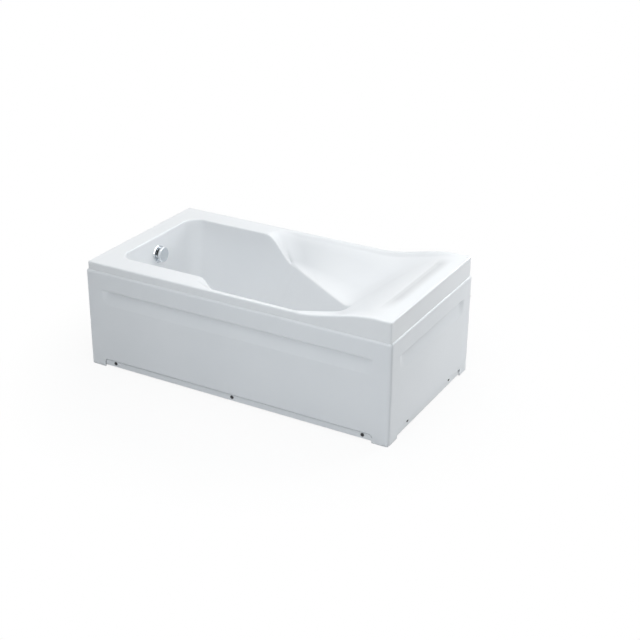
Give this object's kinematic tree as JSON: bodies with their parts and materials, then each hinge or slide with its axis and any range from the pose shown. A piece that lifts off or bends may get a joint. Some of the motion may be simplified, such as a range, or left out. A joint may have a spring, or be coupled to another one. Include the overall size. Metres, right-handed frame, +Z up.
{
  "type": "skirted bathtub",
  "caption": "Moulded acrylic bathtub with a sloped backrest and armrest dish, removable front and end skirts, steel cradle with levelling feet, overflow knob and pop-up waste.",
  "frame": {"origin": "middle of the tub's outline, on the floor", "axes": "+X to the head end, -Y to the front skirt, +Z up"},
  "size_m": [1.5, 0.8, 0.556],
  "materials": {
    "acrylic": "glossy white acrylic",
    "skirt": "glossy white acrylic",
    "cradle": "grey painted steel tube",
    "board": "bare particle board",
    "foot": "black moulded foot",
    "zinc": "zinc-plated steel",
    "chrome": "polished chrome",
    "seal": "black rubber",
    "pipe": "grey-white pipe plastic"
  },
  "bodies": {
    "tub": {"tub_shell": "acrylic", "front_skirt": "skirt", "end_skirt": "skirt", "base_board": "board", "weld_nuts": "zinc", "drain_flange": "chrome", "overflow_trim": "chrome", "gaskets": "seal", "waste_body": "pipe", "overflow_body": "pipe", "front_toe_rail": "cradle", "end_toe_rail": "cradle", "long_rail_front": "cradle", "long_rail_back": "cradle", "cross_rail_drain": "cradle", "cross_rail_middle": "cradle", "cross_rail_seat": "cradle", "cross_rail_head": "cradle", "outriggers": "cradle", "post_pads": "cradle", "post_foot_front": "cradle", "post_foot_back": "cradle", "post_middle_front": "cradle", "post_middle_back": "cradle", "post_head_front": "cradle", "post_head_back": "cradle"},
    "knob": {"overflow_knob": "chrome", "knob_spindle": "zinc"},
    "plug": {"drain_plug": "chrome"},
    "foot_front_foot": {"levelling_foot_foot_front": "foot"},
    "foot_back_foot": {"levelling_foot_foot_back": "foot"},
    "middle_front_foot": {"levelling_foot_middle_front": "foot"},
    "middle_back_foot": {"levelling_foot_middle_back": "foot"},
    "head_front_foot": {"levelling_foot_head_front": "foot"},
    "head_back_foot": {"levelling_foot_head_back": "foot"}
  },
  "joints": [
    {"name": "knob_turn", "type": "hinge", "parent": "tub", "child": "knob", "pos_m": [-0.64669, 0, 0.414], "axis": [0.9976, 0, 0.0698], "range_deg": [0, 120]},
    {"name": "plug_lift", "type": "slide", "parent": "tub", "child": "plug", "axis": [0, 0, 1], "range_m": [0, 0.012]},
    {"name": "foot_front_foot_screw", "type": "slide", "parent": "tub", "child": "foot_front_foot", "axis": [0, 0, -1], "range_m": [0, 0.025]},
    {"name": "foot_back_foot_screw", "type": "slide", "parent": "tub", "child": "foot_back_foot", "axis": [0, 0, -1], "range_m": [0, 0.025]},
    {"name": "middle_front_foot_screw", "type": "slide", "parent": "tub", "child": "middle_front_foot", "axis": [0, 0, -1], "range_m": [0, 0.025]},
    {"name": "middle_back_foot_screw", "type": "slide", "parent": "tub", "child": "middle_back_foot", "axis": [0, 0, -1], "range_m": [0, 0.025]},
    {"name": "head_front_foot_screw", "type": "slide", "parent": "tub", "child": "head_front_foot", "axis": [0, 0, -1], "range_m": [0, 0.025]},
    {"name": "head_back_foot_screw", "type": "slide", "parent": "tub", "child": "head_back_foot", "axis": [0, 0, -1], "range_m": [0, 0.025]}
  ],
  "couplings": [
    {"joint": "plug_lift", "follows": "knob_turn", "m_per_rad": 0.0057295}
  ]
}
